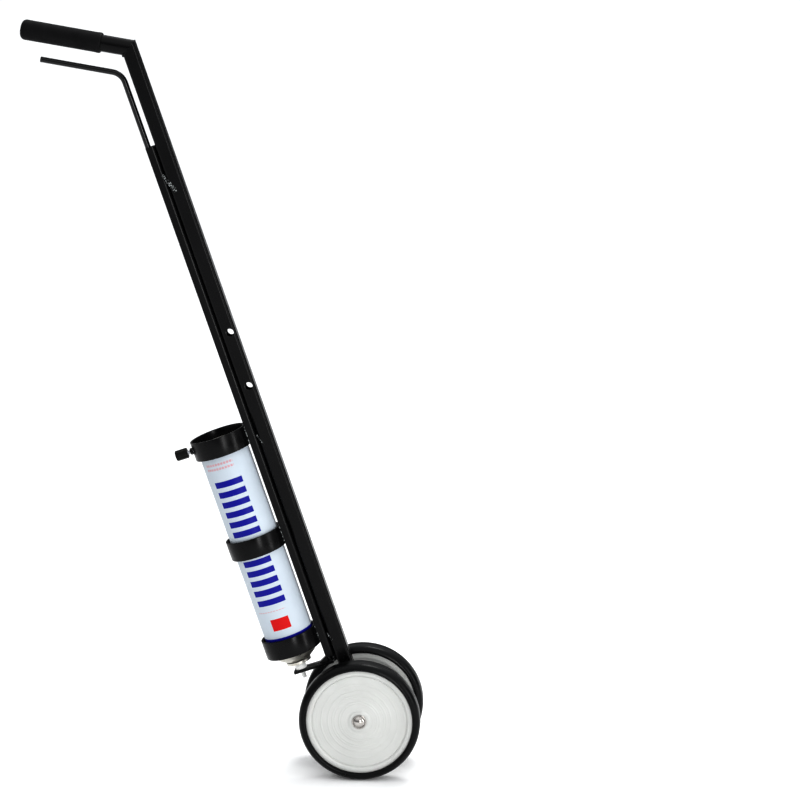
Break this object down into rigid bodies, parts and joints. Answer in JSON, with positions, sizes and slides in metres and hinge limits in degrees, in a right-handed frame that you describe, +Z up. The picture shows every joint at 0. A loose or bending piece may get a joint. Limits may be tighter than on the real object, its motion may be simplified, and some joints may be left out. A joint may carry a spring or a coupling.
{
  "type": "line striping machine",
  "caption": "Walk-along line striping machine: a leaning stem on two wheels holds an inverted aerosol in steel rings and a hand trigger sprays it downwards.",
  "frame": {"origin": "on the ground midway between the two wheels, straight under the axle", "axes": "+Z up; the handle points to -X, so the machine is pushed towards +X; +Y along the axle to the operator's left"},
  "size_m": [0.5108, 0.1086, 0.9886],
  "materials": {
    "powder_coat": "satin",
    "rod_coat": "gloss",
    "grip_rubber": "matte",
    "zinc_steel": "satin",
    "knob_plastic": "satin",
    "hub_plastic": "satin",
    "tyre_rubber": "satin",
    "chrome": "polished",
    "can_lacquer": "satin",
    "tinplate": "satin",
    "white_plastic": "gloss",
    "grey_plastic": "satin",
    "seal_rubber": "matte"
  },
  "bodies": {
    "frame": {"stem_tube": "powder_coat", "handle_tube": "powder_coat", "grip": "grip_rubber", "guide_channel": "powder_coat", "top_ring": "powder_coat", "middle_ring": "powder_coat", "bottom_ring": "powder_coat", "clamp_nut": "powder_coat", "axle": "zinc_steel", "right_spacer": "zinc_steel", "left_spacer": "zinc_steel", "right_axle_cap": "chrome", "left_axle_cap": "chrome"},
    "right_wheel": {"right_hub": "hub_plastic", "right_tyre": "tyre_rubber"},
    "left_wheel": {"left_hub": "hub_plastic", "left_tyre": "tyre_rubber"},
    "trigger": {"trigger_rod": "rod_coat", "spray_plate": "powder_coat"},
    "aerosol": {"can_body": "can_lacquer", "can_base": "tinplate", "can_dome": "tinplate", "valve_cup": "tinplate", "valve_gasket": "seal_rubber", "valve_housing": "white_plastic", "valve_spring": "zinc_steel", "mixing_balls": "zinc_steel"},
    "spray_head": {"spray_actuator": "white_plastic", "valve_stem": "white_plastic", "nozzle_insert": "grey_plastic"},
    "clamp_screw": {"clamp_screw": "zinc_steel"},
    "clamp_knob": {"clamp_knob": "knob_plastic"}
  },
  "joints": [
    {"name": "right_wheel_roll", "type": "hinge", "parent": "frame", "child": "right_wheel", "pos_m": [0, 0, 0.08], "axis": [0, 1, 0], "continuous": true},
    {"name": "left_wheel_roll", "type": "hinge", "parent": "frame", "child": "left_wheel", "pos_m": [0, 0, 0.08], "axis": [0, 1, 0], "continuous": true},
    {"name": "trigger_pull", "type": "slide", "parent": "frame", "child": "trigger", "axis": [-0.319, 0, 0.9478], "range_m": [0, 0.003], "stiffness_N_per_m": 4000},
    {"name": "aerosol_lift_out", "type": "slide", "parent": "frame", "child": "aerosol", "axis": [-0.319, 0, 0.9478], "range_m": [0, 0.335]},
    {"name": "spray_head_press", "type": "slide", "parent": "aerosol", "child": "spray_head", "axis": [-0.319, 0, 0.9478], "range_m": [0, 0.003], "deforming": ["valve_spring"]},
    {"name": "clamp_travel", "type": "slide", "parent": "frame", "child": "clamp_screw", "axis": [-0.9478, 0, -0.319], "range_m": [0, 0.0024]},
    {"name": "clamp_turn", "type": "hinge", "parent": "clamp_screw", "child": "clamp_knob", "pos_m": [-0.22723, 0, 0.42884], "axis": [-0.9478, 0, -0.319], "range_deg": [0, 1080]}
  ],
  "couplings": [
    {"joint": "spray_head_press", "follows": "trigger_pull", "ratio": 1},
    {"joint": "clamp_turn", "follows": "clamp_travel", "rad_per_m": 7854}
  ]
}
